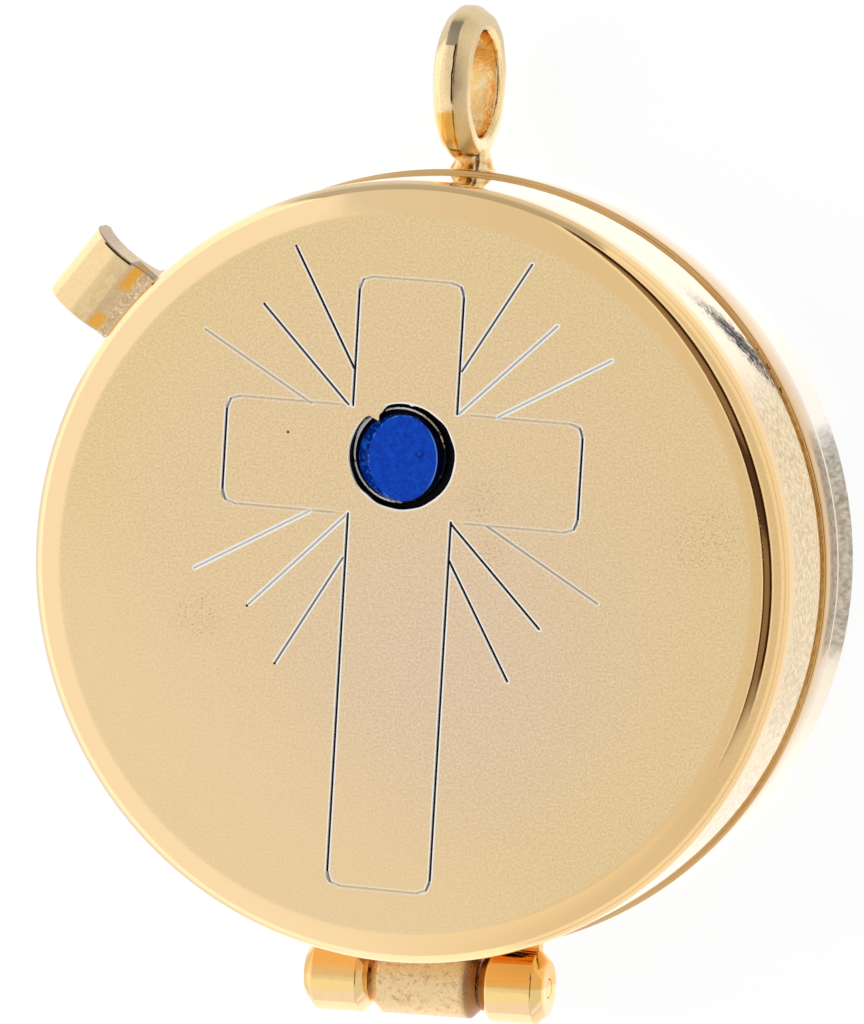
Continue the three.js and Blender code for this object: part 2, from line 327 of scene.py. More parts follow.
def knuckle(name, centre_x, half, radius, leaf_heights, wall):
    """A barrel with a bore, turned about the hinge's axis, with its leaf joined on."""
    centre = (centre_x, HINGE_Y, PARTING)
    section = [(-half, BORE), (-half, radius - KNUCKLE_CHAMFER), (KNUCKLE_CHAMFER - half, radius)]
    section += [(-across, up) for across, up in reversed(section)]
    section.append(section[0])
    points = [(centre_x + along, HINGE_Y, PARTING + out) for along, out in section]
    barrel = turn(name, points, 72, centre, (1, 0, 0))
    ease = math.radians(30)
    apply(barrel, "BEVEL", width=KNUCKLE_EASING * MM, segments=3, limit_method="ANGLE", angle_limit=ease)
    bpy.ops.object.select_all(action="DESELECT")
    leaf_low, leaf_high = leaf_heights
    near = HINGE_Y + LEAF_START
    far = -math.sqrt(wall * wall - (abs(centre_x) + half) ** 2) + LEAF_BITE
    size = (LEAF_WIDTH, far - near, leaf_high - leaf_low)
    middle = (centre_x, (near + far) / 2, (leaf_high + leaf_low) / 2)
    bpy.ops.mesh.primitive_cube_add(size=MM, location=Vector(middle) * MM, scale=size)
    leaf = bpy.context.object
    bpy.ops.object.transform_apply(location=True, rotation=False, scale=True)
    apply(leaf, "BEVEL", width=LEAF_EASING * MM, segments=2)
    apply(barrel, "BOOLEAN", operation="UNION", object=leaf, solver="EXACT")
    bpy.data.objects.remove(leaf)
    smooth(barrel, 25)
    return barrel


knuckle_gilt, place = new_material("knuckle_gilt")
x, y, z = place.parts()
wiping = place.noise(3.0, 4, 0.6)
# Painted reflection: the side toward the box is painted orange, as the gilded wall above it would show; the
# band along the top is painted a stronger yellow as painted light.
inner_side = (y - HINGE_Y).step(0.05, 0.25)
top_side = (y - HINGE_Y).step(-0.85, -0.75) * (1 - inner_side)
colour = top_side.tint((0.98, 0.70, 0.40, 1), (1.0, 0.72, 0.29, 1))
painted_orange_reflection = x.step(-2, 2).tint((1.0, 0.59, 0.21, 1), (0.98, 0.50, 0.12, 1))
colour = inner_side.tint(colour, painted_orange_reflection)
show(
    knuckle_gilt, place,
    Base_Color=(wiping.step(0.4, 0.75) * 0.2).tint(colour, (0.86, 0.55, 0.24, 1)),
    Metallic=1.0,
    Roughness=wiping * 0.05 + 0.075,
    Normal=place.bump(place.noise(0.35, 2) + place.noise(2.5, 3) * 0.12, 1.0, 0.02),
)
for name, side in (("hinge_knuckle_left", -1), ("hinge_knuckle_right", 1)):
    middle = HINGE_MIDDLE + side * KNUCKLE_X
    piece = knuckle(name + "_polished", middle, KNUCKLE_HALF, KNUCKLE_RADIUS, OUTER_LEAF, BAND_WALL)
    wear(piece, "box", name, "fitting_gilt", knuckle_gilt)

# The lid's knuckle turns between the other two. It is a little smaller and was left dull, with the grain
# of the casting on it, mottled painted shade on its upper half and painted shade at its right end.
CENTRE_RADIUS = 2.29
CENTRE_HALF = 3.565
CENTRE_LEAF = (10.25, 11.6)
LID_WALL = 24.98
centre_knuckle = knuckle(
    "hinge_knuckle_dull", HINGE_MIDDLE, CENTRE_HALF, CENTRE_RADIUS, CENTRE_LEAF, LID_WALL
)
dull_brass, place = new_material("dull_brass")
x, y, z = place.parts()
grain = place.noise(7.0, 5, 0.7).step(0.25, 0.75)
# Painted shade: mottled dark on the upper half, and dark at the right end beside the gap.
painted_top_shade = place.noise(2.2, 6, 0.75).step(0.50, 0.66) * z.step(10.2, 12.2)
pits = place.noise(3.4, 3, 0.7).step(0.38, 0.30)
cast = grain.tint((0.84, 0.55, 0.27, 1), (1.0, 0.78, 0.46, 1))
right_end_shade = x.step(2.2, 2.9).tint(cast, (0.42, 0.22, 0.10, 1))
show(
    dull_brass, place,
    Base_Color=(painted_top_shade * 0.6).tint(right_end_shade, (0.42, 0.22, 0.08, 1)),
    Metallic=1.0,
    Roughness=grain * 0.15 + 0.22,
    Normal=place.bump(grain * 0.5 - pits, 1.0, 0.03),
)
wear(centre_knuckle, "lid", "hinge_knuckle_centre", "knuckle_dull", dull_brass)

# The hinge pin: brass wire pushed through all three knuckles and filed flush with the outer two,
# with a dot punched in each end.
PIN_RADIUS = 0.6
PIN_HALF = 7.98
PIN_DOT_DEPTH = 0.08
PIN_DOT_RADIUS = 0.09
PIN_EASING = 0.06
pin_end = [
    (PIN_HALF - PIN_DOT_DEPTH, 0), (PIN_HALF, PIN_DOT_RADIUS),
    (PIN_HALF, PIN_RADIUS - PIN_EASING), (PIN_HALF - PIN_EASING, PIN_RADIUS),
]
pin_section = [(-along, out) for along, out in pin_end] + pin_end[::-1]
pin_points = [(HINGE_MIDDLE + along, HINGE_Y, PARTING + out) for along, out in pin_section]
pin = turn("pin", pin_points, 48, (0, HINGE_Y, PARTING), (1, 0, 0))
smooth(pin, 40)
wear(pin, "box", "hinge_pin", "pin_brass", knuckle_gilt)

# The hanging ring: a heavy ring that stands on edge, filed to a flat rim, two bevels and two sides
# by hand, with a flared foot of solder on the band.
RING_Y = 30.68
RING_HEIGHT = 7.835
RING_OUTER = 5.05
RING_INNER = 3.4
RING_HALF = 1.19
RING_RIM_LEFT = -0.42
RING_RIM_RIGHT = 0.28
RING_SIDE_OUTER = 4.4
RING_SIDE_INNER = 3.72
RING_LIP = 0.84
HAMMERED = 0.05
FILING_SEED = 1795849767
SOLDER_RADIUS = 1.5
SOLDER_X = 0.4
SOLDER_NECK = 1.1
SOLDER_START = 25.0
SOLDER_EDGE = 25.22
SOLDER_FLARE = 25.25
SOLDER_END = 26.5
FLARE_STEPS = 8
FLARE_CURVE = 2.2
RING_EASING = 0.14
DARK_PATCH_LOW = 2.65
DARK_PATCH_HIGH = 4.5


def filed_by_hand(piece, depth, lumps):
    """Moves the surface in and out by a slow noise, as hand filing leaves it. Lumps to the millimetre."""
    noise.seed_set(FILING_SEED)
    for corner in piece.data.vertices:
        here = corner.co / MM * lumps
        corner.co += noise.noise_vector(here) * depth * MM


ring_section = [
    (RING_RIM_RIGHT, RING_OUTER), (RING_HALF, RING_SIDE_OUTER), (RING_HALF, RING_SIDE_INNER),
    (RING_LIP, RING_INNER), (-RING_LIP, RING_INNER),
    (-RING_HALF, RING_SIDE_INNER), (-RING_HALF, RING_SIDE_OUTER), (RING_RIM_LEFT, RING_OUTER),
    (RING_RIM_RIGHT, RING_OUTER),
]
ring = turn(
    "hanging_ring_polished", [(across, RING_Y + out, RING_HEIGHT) for across, out in ring_section],
    144, (0, RING_Y, RING_HEIGHT), (1, 0, 0),
)
ease = math.radians(20)
apply(ring, "BEVEL", width=RING_EASING * MM, segments=3, limit_method="ANGLE", angle_limit=ease)
solder_section = [(0, SOLDER_START), (SOLDER_RADIUS, SOLDER_START), (SOLDER_RADIUS, SOLDER_EDGE)]
for i in range(FLARE_STEPS + 1):
    share = i / FLARE_STEPS
    flare = SOLDER_NECK + (SOLDER_RADIUS - SOLDER_NECK) * (1 - share) ** FLARE_CURVE
    solder_section.append((flare, SOLDER_FLARE + (SOLDER_END - SOLDER_FLARE) * share))
solder_section.append((0, SOLDER_END))
solder = turn(
    "solder", [(SOLDER_X + out, along, RING_HEIGHT) for out, along in solder_section],
    64, (SOLDER_X, 0, RING_HEIGHT), (0, 1, 0),
)
apply(ring, "BOOLEAN", operation="UNION", object=solder, solver="EXACT")
bpy.data.objects.remove(solder)
filed_by_hand(ring, HAMMERED, 0.7)
smooth(ring, 24)
ring_gilt, place = new_material("ring_gilt")
x, y, z = place.parts()
back, up = y - RING_Y, z - RING_HEIGHT
from_axis = place.math("SQRT", back * back + up * up)
speckle = place.noise(6.0, 4, 0.75).step(0.3, 0.7)
wiping = place.noise(1.1, 4, 0.65)
on_top = up.step(1.5, 2.5)
on_rim = on_top * from_axis.step(4.6, 4.85) * x.step(-0.50, -0.42)
# Painted reflection: a dark patch painted on the rim's top at the left, where it is also rougher.
dull = on_rim * (x + wiping * 0.2).step(0.46, 0.34)
dull = dull * (back + wiping * 0.15).step(DARK_PATCH_LOW, DARK_PATCH_LOW + 0.08)
dull = dull * (back + wiping * 0.5).step(DARK_PATCH_HIGH, DARK_PATCH_HIGH - 0.25)
# A thin dark line painted along the rim's right edge, between the flat and the bevel.
dark_line_across = x + wiping * 0.16
dark_rim_line = on_rim * dark_line_across.step(0.26, 0.30) * dark_line_across.step(0.41, 0.37)
dark_rim_line = dark_rim_line * back.step(-1.2, -0.8) * back.step(2.8, 2.6)
# Painted reflection: orange patches on the rim's top, inside the ring and near its foot stand in for the
# gilding it mirrors.
painted_orange_reflection = from_axis.step(4.55, 4.7) * x.step(0.5, 0.3) * on_top
painted_orange_reflection = painted_orange_reflection * (back + wiping * 0.5).step(-1.35, -1.55) * (back + wiping * 0.4).step(-3.7, -3.4)
filed = x.step(0.3, 0.45) * on_top
inside = from_axis.step(3.62, 3.52)
colour = speckle.tint((0.90, 0.67, 0.36, 1), (0.99, 0.78, 0.45, 1))
colour = (inside * wiping.step(0.62, 0.42)).tint(colour, (0.93, 0.58, 0.22, 1))
colour = painted_orange_reflection.tint(colour, (0.95, 0.58, 0.15, 1))
colour = (back.step(-4.2, -4.9) * wiping.step(0.55, 0.4)).tint(colour, (0.80, 0.42, 0.12, 1))
colour = (dull * 0.9).tint(colour, (0.33, 0.27, 0.19, 1))
show(
    ring_gilt, place,
    Base_Color=dark_rim_line.tint(colour, (0.02, 0.012, 0.008, 1)),
    Metallic=1 - dark_rim_line,
    Roughness=wiping * 0.08 + 0.07 + dull * 0.25 + dark_rim_line * 0.4 + filed * 0.28,
    Specular_IOR_Level=0.1,
    Normal=place.bump(wiping * (0.6 + inside * 2.0) + speckle * 0.05, 1.0, 0.03),
)
wear(ring, "box", "hanging_ring", "fitting_gilt", ring_gilt)

# The lid: a turned brass shell with a thick plate. Its face is satin and carries the engraving,
# and its shoulder and wall are polished. A round seat is cut through the cross for the stone.
LID_RADIUS = 25.0
LID_INNER = 24.0
LID_BOTTOM = 10.06
LID_TOP = 20.0
SHOULDER_WIDTH = 2.2
SHOULDER_DROP = 2.0
LID_EDGE = 0.1
CEILING = 18.2
CEILING_CORNER = 1.0
LID_MOUTH_EASING = 0.05
LID_STEP = 0.2
SHOULDER_STEP = 0.15
STONE_Y = 7.58
lid_section = [
    (0, CEILING), (LID_INNER - CEILING_CORNER - LID_STEP, CEILING),
    *arc(LID_INNER - CEILING_CORNER, CEILING - CEILING_CORNER, CEILING_CORNER, 90, 0, 6),
    (LID_INNER, LID_BOTTOM + LID_MOUTH_EASING), (LID_INNER + LID_MOUTH_EASING, LID_BOTTOM),
    *arc(LID_RADIUS - LID_EDGE, LID_BOTTOM + LID_EDGE, LID_EDGE, -90, 0, 4),
    (LID_RADIUS, LID_TOP - SHOULDER_DROP - LID_STEP),
    *[
        (LID_RADIUS - SHOULDER_WIDTH * (1 - across), LID_TOP - SHOULDER_DROP * (1 - up))
        for across, up in arc(0, 0, 1, 0, 90, 18)
    ],
    (LID_RADIUS - SHOULDER_WIDTH - SHOULDER_STEP, LID_TOP), (0, LID_TOP),
]
lid = turn("lid_engraved", upright(lid_section))

# The engraving: a Latin cross with rounded ends to its arms, and rays between them. Every line
# is a wide V cut with a pointed graver.
GROOVE = 0.07
GRAVER_SPREAD = 1.6
GRAVER_ABOVE = 0.05
CROSS_TURN = -1.69
CROSS_TOP = 11.24
CROSS_BOTTOM = -27.72
ARM_TOP = 2.97
ARM_BOTTOM = -3.92
ARM_LEFT = -11.95
ARM_RIGHT = 11.57
HEAD_LEFT = -3.61
FOOT_LEFT = -3.54
SHAFT_RIGHT = 3.275
CROSS_CORNER = 0.9
# Each ray has its outer end, its inner end, how bright the painted highlight on its burr is and how black
# its cut is painted.
RAYS = (
    ((-7.90, 12.65), (-3.67, 5.33), 1, 1),
    ((-9.81, 8.87), (-3.92, 3.00), 1, 0.95),
    ((-13.63, 6.99), (-6.33, 2.865), 0.5, 0.32),
    ((7.60, 12.80), (3.42, 5.70), 1, 0.88),
    ((9.49, 9.05), (3.44, 3.03), 1, 0.42),
    ((13.17, 7.18), (5.98, 3.01), 1, 0.35),
    ((-13.49, -8.26), (-6.10, -4.0), 1, 0.34),
    ((-9.74, -10.24), (-3.65, -4.05), 1, 0.40),
    ((-7.76, -13.78), (-3.70, -6.77), 1, 0.74),
    ((13.17, -8.22), (5.67, -3.96), 0.5, 0.40),
    ((9.47, -10.17), (3.29, -4.02), 1, 1),
    ((7.59, -13.67), (3.32, -6.38), 1, 1),
)


def on_face(across, up):
    """A point of the cross's own drawing, on the lid's face."""
    turn = math.radians(CROSS_TURN)
    x = across * math.cos(turn) - up * math.sin(turn)
    y = across * math.sin(turn) + up * math.cos(turn)
    return Vector((x, STONE_Y + y))


def rounded(corners, radius):
    """An open line through corners, with every corner between its ends rounded."""
    line = [corners[0]]
    for before, corner, after in zip(corners, corners[1:], corners[2:]):
        start = corner + (before - corner).normalized() * radius
        end = corner + (after - corner).normalized() * radius
        for i in range(7):
            t = i / 6
            line.append((1 - t) ** 2 * start + 2 * t * (1 - t) * corner + t * t * end)
    return [*line, corners[-1]]


def graver_stroke(start, end):
    """The space that the graver's point sweeps between two points of the face: two cones and their hull."""
    bpy.ops.object.select_all(action="DESELECT")
    depth = GROOVE + GRAVER_ABOVE
    width = depth * GRAVER_SPREAD
    for x, y in (start, end):
        centre = Vector((x, y, LID_TOP + GRAVER_ABOVE - depth / 2)) * MM
        bpy.ops.mesh.primitive_cone_add(
            vertices=12, radius1=0, radius2=width * MM, depth=depth * MM, location=centre
        )
        if (x, y) == tuple(start):
            stroke = bpy.context.object
    stroke.select_set(True)
    bpy.context.view_layer.objects.active = stroke
    bpy.ops.object.join()
    bpy.ops.object.transform_apply(location=True, rotation=False, scale=False)
    bpy.ops.object.mode_set(mode="EDIT")
    bpy.ops.mesh.select_all(action="SELECT")
    bpy.ops.mesh.convex_hull()
    bpy.ops.object.mode_set(mode="OBJECT")
    return stroke


upper_left, upper_right = (HEAD_LEFT, ARM_TOP), (SHAFT_RIGHT, ARM_TOP)
lower_left, lower_right = (FOOT_LEFT, ARM_BOTTOM), (SHAFT_RIGHT, ARM_BOTTOM)
outlines = (
    (upper_left, (HEAD_LEFT, CROSS_TOP), (SHAFT_RIGHT, CROSS_TOP), upper_right),
    (upper_right, (ARM_RIGHT, ARM_TOP), (ARM_RIGHT, ARM_BOTTOM), lower_right),
    (lower_right, (SHAFT_RIGHT, CROSS_BOTTOM), (FOOT_LEFT, CROSS_BOTTOM), lower_left),
    (lower_left, (ARM_LEFT, ARM_BOTTOM), (ARM_LEFT, ARM_TOP), upper_left),
)
lines = [rounded([on_face(*corner) for corner in outline], CROSS_CORNER) for outline in outlines]
lines += [[on_face(*start), on_face(*end)] for start, end, burr_and_highlight, cut_residue_and_shade in RAYS]
strokes = [graver_stroke(start, end) for line in lines for start, end in zip(line, line[1:])]
bpy.ops.object.select_all(action="DESELECT")
for stroke in strokes:
    stroke.select_set(True)
graver = strokes[0]
bpy.context.view_layer.objects.active = graver
bpy.ops.object.join()
apply(lid, "BOOLEAN", operation="DIFFERENCE", object=graver, solver="EXACT", use_self=True)
bpy.data.objects.remove(graver)

# The seat for the stone: a round hole with a rolled edge, cut by hand through the cross and a
# little out of true, with a nick at its upper left.
SEAT_X = -0.195
SEAT_Y = 7.555
SEAT_RADII = (3.45, 3.34)
SEAT_BOTTOM = 18.75
SEAT_WAVE = 0.08
NICKS = ((126, 4, 0.60), (118, 7, 0.30), (81, 2, 0.09))
seat_section = [
    (0, LID_TOP + 0.3), (1.05, LID_TOP + 0.3), (1.03, LID_TOP), (1.008, LID_TOP - 0.04),
    (1, LID_TOP - 0.12), (1, SEAT_BOTTOM), (0, SEAT_BOTTOM),
]
seat = turn("seat", upright(seat_section), 180)
for corner in seat.data.vertices:
    x, y, z = corner.co / MM
    angle = math.degrees(math.atan2(y, x))
    nick = sum(depth * math.exp(-((angle - middle) / reach) ** 2) for middle, reach, depth in NICKS)
    wave = noise.noise(Vector((x * 3, y * 3, 0))) * SEAT_WAVE
    share = 1 - (nick + wave) / SEAT_RADII[0]
    corner.co = Vector((SEAT_X + x * SEAT_RADII[0] * share, SEAT_Y + y * SEAT_RADII[1] * share, z)) * MM
apply(lid, "BOOLEAN", operation="DIFFERENCE", object=seat, solver="EXACT")
bpy.data.objects.remove(seat)
smooth(lid, 15)

lid_gilt, place = new_material("lid_gilt")
x, y, z = place.parts()
flat = place.at(x, y, 0)


def distance(point, middle):
    return point.node("VectorMath", {"operation": "DISTANCE"}, {0: point, 1: middle}, "Value")


def beside(point, start, end):
    """How far a point of the face is from a straight cut, in millimetres."""
    along = end - start
    reach = point.node("VectorMath", {"operation": "SUBTRACT"}, {0: point, 1: (*start, 0)})
    scaled = (*along / along.length_squared, 0)
    share = reach.node("VectorMath", {"operation": "DOT_PRODUCT"}, {0: reach, 1: scaled}, "Value")
    share = share.math("MINIMUM", share.math("MAXIMUM", share, 0), 1)
    foot = reach.node("VectorMath", {"operation": "SCALE"}, {0: (*along, 0), "Scale": share})
    return distance(reach, foot)


straight_cuts = list(RAYS)
corners = []
for side, high_end, low_end in (
    (HEAD_LEFT, CROSS_TOP, ARM_TOP), (SHAFT_RIGHT, CROSS_TOP, ARM_TOP),
    (FOOT_LEFT, CROSS_BOTTOM, ARM_BOTTOM), (SHAFT_RIGHT, CROSS_BOTTOM, ARM_BOTTOM),
):
    curve = math.copysign(CROSS_CORNER, high_end)
    straight_cuts.append(((side, high_end - curve), (side, low_end), 1, 1))
    corners.append((side, high_end, math.copysign(CROSS_CORNER, side), curve))
for side in (ARM_LEFT, ARM_RIGHT):
    straight_cuts.append(((side, ARM_BOTTOM + CROSS_CORNER), (side, ARM_TOP - CROSS_CORNER), 1, 1))
    corners.append((side, ARM_BOTTOM, math.copysign(CROSS_CORNER, side), -CROSS_CORNER))
    corners.append((side, ARM_TOP, math.copysign(CROSS_CORNER, side), CROSS_CORNER))
for side, end, across, up in corners:
    middle = (side - across * 0.25, end - up * 0.25)
    straight_cuts.append(((side, end - up), middle, 0.8, 0.75))
    straight_cuts.append((middle, (side - across, end), 0.45, 0.35))
for start, end in (
    (upper_left, (ARM_LEFT, ARM_TOP)), (upper_right, (ARM_RIGHT, ARM_TOP)),
    (lower_left, (ARM_LEFT, ARM_BOTTOM)), (lower_right, (ARM_RIGHT, ARM_BOTTOM)),
    ((HEAD_LEFT, CROSS_TOP), (SHAFT_RIGHT, CROSS_TOP)),
    ((FOOT_LEFT, CROSS_BOTTOM), (SHAFT_RIGHT, CROSS_BOTTOM)),
):
    inset = (Vector(end) - Vector(start)).normalized() * CROSS_CORNER
    straight_cuts.append((Vector(start) + inset, Vector(end) - inset, 0.25, 0.2))
# Beside each cut a white burr line is painted as highlight, and its core is painted black as residue and
# shade.
burr_and_highlight = cut_residue_and_shade = 0.0
for start, end, burr_highlight_here, cut_darkness_here in straight_cuts:
    gap = beside(flat, on_face(*start), on_face(*end))
    burr_and_highlight = place.math("MAXIMUM", burr_and_highlight, gap.step(0.195, 0.155) * burr_highlight_here)
    cut_residue_and_shade = place.math("MAXIMUM", cut_residue_and_shade, gap.step(0.083, 0.055) * cut_darkness_here)

radius = distance(flat, (0, 0, 0))
face = z.step(19.5, 19.9) * radius.step(23.0, 22.75)
high = z.step(17.0, 17.5)
from_seat = distance(place.at((x - SEAT_X) * (SEAT_RADII[1] / SEAT_RADII[0]), y - SEAT_Y, 0), (0, 0, 0))
# Painted shade: the seat's walls and floor are painted near black. Painted highlight: its rolled edge is
# painted white.
painted_seat_shade = from_seat.step(3.6, 3.5) * z.step(19.97, 19.92) * z.step(18.3, 18.5)
seat_edge_highlight = from_seat.step(3.50, 3.45) * (1 - painted_seat_shade) * (1 - x.step(-1.2, -1.6) * y.step(9.6, 9.9))

middle_of_wear = distance(flat, (3, -5, 0))
grain = place.noise(6.5, 4, 0.75).step(0.3, 0.7)
mottle = place.noise(1.6, 5, 0.65)
rubbed = grain.tint((0.72, 0.54, 0.365, 1), (0.99, 0.76, 0.515, 1))
kept = grain.tint((0.77, 0.56, 0.325, 1), (1.0, 0.77, 0.45, 1))
outside = grain.tint((0.78, 0.565, 0.305, 1), (1.0, 0.775, 0.42, 1))
satin = middle_of_wear.step(3, 15).tint(rubbed, kept)
satin = radius.step(16, 21).tint(satin, outside)
satin = ((y + x * 0.7).step(-8, -22) * 0.6).tint(satin, (0.96, 0.72, 0.42, 1))

PITTED = (((20, 3.5, 0), 4.2), ((5, 5.1, 0), 2.2), ((-13.3, -3.2, 0), 2.6), ((6, 2, 0), 1.8))
SLIPS = ((-7.96, 12.76), (-9.86, 8.93), (-9.88, -10.38), (-7.83, -13.9))
pitted = 0.0
for middle, reach in PITTED:
    pitted = place.math("MAXIMUM", pitted, distance(flat, middle).step(reach, reach * 0.3))
pits = pitted * place.noise(5.5, 4, 0.75).step(0.56, 0.62)
dots = 0.0
for middle in ((-7.78, 8.72, 0), *[(*on_face(*slip), 0) for slip in SLIPS]):
    dots = place.math("MAXIMUM", dots, distance(flat, middle).step(0.11, 0.06))

DARK_REFLECTION_HEIGHT = 12.5
streaks = place.at(x * 0.35, y * 0.35, z * 3.0).noise(1.0, 4, 0.65)
# Painted highlight: the wall is painted pale, and richer gold only on the left.
wall = streaks.step(0.35, 0.7).tint((0.93, 0.79, 0.59, 1), (0.97, 0.84, 0.65, 1))
wall = (x + streaks * 4).step(6, -6).tint(wall, (0.92, 0.70, 0.42, 1))
rough_gilt = place.noise(2.6, 4, 0.75).step(0.35, 0.65).tint((0.60, 0.40, 0.16, 1), (0.98, 0.78, 0.44, 1))
wall = (x.step(12, 20) * y.step(16, 10)).tint(wall, rough_gilt)
deeper = x.step(-8, 12)
shoulder = deeper.tint((0.97, 0.715, 0.40, 1), (0.96, 0.66, 0.315, 1))
shoulder = (grain * x.step(16, 22) * 0.22).tint(shoulder, (0.45, 0.28, 0.12, 1))
shoulder = high.tint(wall, shoulder)
# Painted reflection: a black, streaky patch on the wall, on its right towards the back, as a dark thing
# mirrored there.
along_wall = x * -0.616 + y * 0.788
above_dark_reflection = z - along_wall * 0.5 - DARK_REFLECTION_HEIGHT
from_dark_reflection = distance(place.at(along_wall * 0.42, (1 - x.step(5, 10)) * 9, above_dark_reflection), (0, 0, 0))
dark_reflection_streaks = place.at(along_wall * 1.2, 0, z * 7.0 - along_wall * 1.2).noise(1.4, 5, 0.75)
painted_dark_reflection = (dark_reflection_streaks + from_dark_reflection.step(2.6, 0.3) * 0.19).step(0.60, 0.63) * from_dark_reflection.step(2.6, 2.0)
tone = face.tint(shoulder, satin)
tone = (pits * face * 0.6).tint(tone, (0.34, 0.23, 0.13, 1))
tone = painted_dark_reflection.tint(tone, (0.012, 0.008, 0.007, 1))
# Painted highlight along the burrs of the cuts and along the seat's rolled edge.
painted_edge_highlight = place.math("MAXIMUM", burr_and_highlight * face, seat_edge_highlight * 0.9)
tone = painted_edge_highlight.tint(tone, (1, 0.98, 0.93, 1))
# The cuts' cores are painted black as residue and shade; the slip dots are dark marks.
dots_and_cut_shade = place.math("MAXIMUM", cut_residue_and_shade, dots) * face
tone = dots_and_cut_shade.tint(tone, (0.006, 0.003, 0.002, 1))
height = place.noise(0.35, 2) * 0.6 + mottle * 0.02 + (grain * 0.012 + burr_and_highlight * 0.15) * face
height = height - pits * 0.25
gloss = face * (0.12 + mottle * 0.06) + 0.06
show(
    lid_gilt, place,
    Base_Color=painted_seat_shade.tint(tone, (0.003, 0.003, 0.006, 1)),
    Metallic=(1 - painted_seat_shade) * (1 - dots_and_cut_shade) * (1 - painted_edge_highlight * 0.25) * (1 - painted_dark_reflection),
    Roughness=gloss + painted_seat_shade * 0.4 + dots_and_cut_shade * 0.3 + painted_edge_highlight * 0.1 + painted_dark_reflection * 0.4,
    Specular_IOR_Level=0.1,
    Normal=place.bump(height, 1.0, 0.02),
)
wear(lid, "lid", "lid_shell", "lid_gilt", lid_gilt)

# The thumb tab: a thick strip of brass, arched outwards and bent back down, and soldered to the
# lid's wall beside the ring. The solder left a grainy root; two orange patches by it are painted
# reflection.
TAB_ANGLE = 142
TAB_WIDTH = 5.1
TAB_ARCH = 2.45
TAB_X = 28.15
TAB_Z = 14.05
TAB_UNDER = 11.55
TAB_FOOT = 10.8
TAB_EASING = 0.1
tab_section = [
    *arc(TAB_X, TAB_Z, TAB_ARCH, 0, 125, 16),
    (TAB_X - 1.95, 15.74), (TAB_X - 2.45, 15.62), (25.3, 15.74), (25.05, 16.05), (24.85, 16.1),
    (24.85, TAB_FOOT), (TAB_X - 2.12, TAB_FOOT),
    *arc(TAB_X, TAB_UNDER, TAB_ARCH, 150, 30, 14), (TAB_X + TAB_ARCH, TAB_Z - 0.85),
]
tab = draw("thumb_tab_polished", [(across, -TAB_WIDTH / 2, up) for across, up in tab_section])
bpy.ops.mesh.select_all(action="SELECT")
bpy.ops.mesh.edge_face_add()
bpy.ops.mesh.extrude_region_move(TRANSFORM_OT_translate={"value": (0, TAB_WIDTH * MM, 0)})
bpy.ops.mesh.select_all(action="SELECT")
turn_tab = math.radians(TAB_ANGLE)
close_up()
tab.rotation_euler = (0, 0, turn_tab)
bpy.ops.object.transform_apply(location=False, rotation=True, scale=False)
ease = math.radians(35)
apply(tab, "BEVEL", width=TAB_EASING * MM, segments=3, limit_method="ANGLE", angle_limit=ease)
smooth(tab, 28)
tab_gilt, place = new_material("tab_gilt")
x, y, z = place.parts()
out = x * math.cos(turn_tab) + y * math.sin(turn_tab)
side = x * math.sin(turn_tab) - y * math.cos(turn_tab)
speckle = place.noise(6.0, 4, 0.75).step(0.3, 0.7)
wiping = place.noise(1.3, 4, 0.65)
ragged = wiping * 0.7
upper = z.step(14.2, 14.6)
end_face = side.step(2.44, 2.5)
edge_line = side.step(2.30, 2.38) * side.step(2.5, 2.46) * upper
edge_line = edge_line * out.step(26.9, 27.1) * out.step(29.4, 29.1)
torn_out = out + ragged
# Painted reflection: two orange patches near the root.
near_orange_reflection = side.step(0.3, 1.2) * torn_out.step(27.3, 27.0) * torn_out.step(26.35, 26.5) * upper
far_orange_reflection = side.step(-1.2, -1.5) * side.step(-2.5, -2.3) * upper
far_orange_reflection = far_orange_reflection * torn_out.step(27.4, 27.1) * torn_out.step(26.45, 26.6)
soldered = torn_out.step(26.7, 26.3) * upper
colour = speckle.tint((0.90, 0.66, 0.35, 1), (0.99, 0.75, 0.41, 1))
# Painted shadow: a darker, streaky band on the part nearer the lid.
colour = (wiping.step(0.42, 0.6) * out.step(28.3, 27.6) * 0.4).tint(colour, (0.68, 0.48, 0.25, 1))
near_root = out.step(27.15, 26.95) * upper
colour = near_root.tint(colour, speckle.tint((0.72, 0.62, 0.46, 1), (0.88, 0.78, 0.62, 1)))
colour = place.math("MAXIMUM", near_orange_reflection, far_orange_reflection).tint(colour, (0.98, 0.60, 0.14, 1))
granular = place.noise(4.5, 3, 0.7).step(0.4, 0.6)
colour = (soldered * 0.85).tint(colour, granular.tint((0.72, 0.54, 0.32, 1), (1.0, 0.86, 0.62, 1)))
# Painted shade: the end face is painted brown.
end_face_shade = end_face * (0.35 + speckle * 0.35 + out.step(27.5, 29.5) * 0.3)
colour = end_face_shade.tint(colour, (0.30, 0.19, 0.11, 1))
show(
    tab_gilt, place,
    Base_Color=edge_line.tint(colour, (0.02, 0.012, 0.008, 1)),
    Metallic=1 - edge_line,
    Roughness=wiping * 0.08 + 0.07 + near_root * 0.35 + end_face * 0.15 + edge_line * 0.4,
    Specular_IOR_Level=0.1,
    Normal=place.bump(wiping * 0.4 + granular * soldered * 0.8, 1.0, 0.03),
)
wear(tab, "lid", "thumb_tab", "fitting_gilt", tab_gilt)

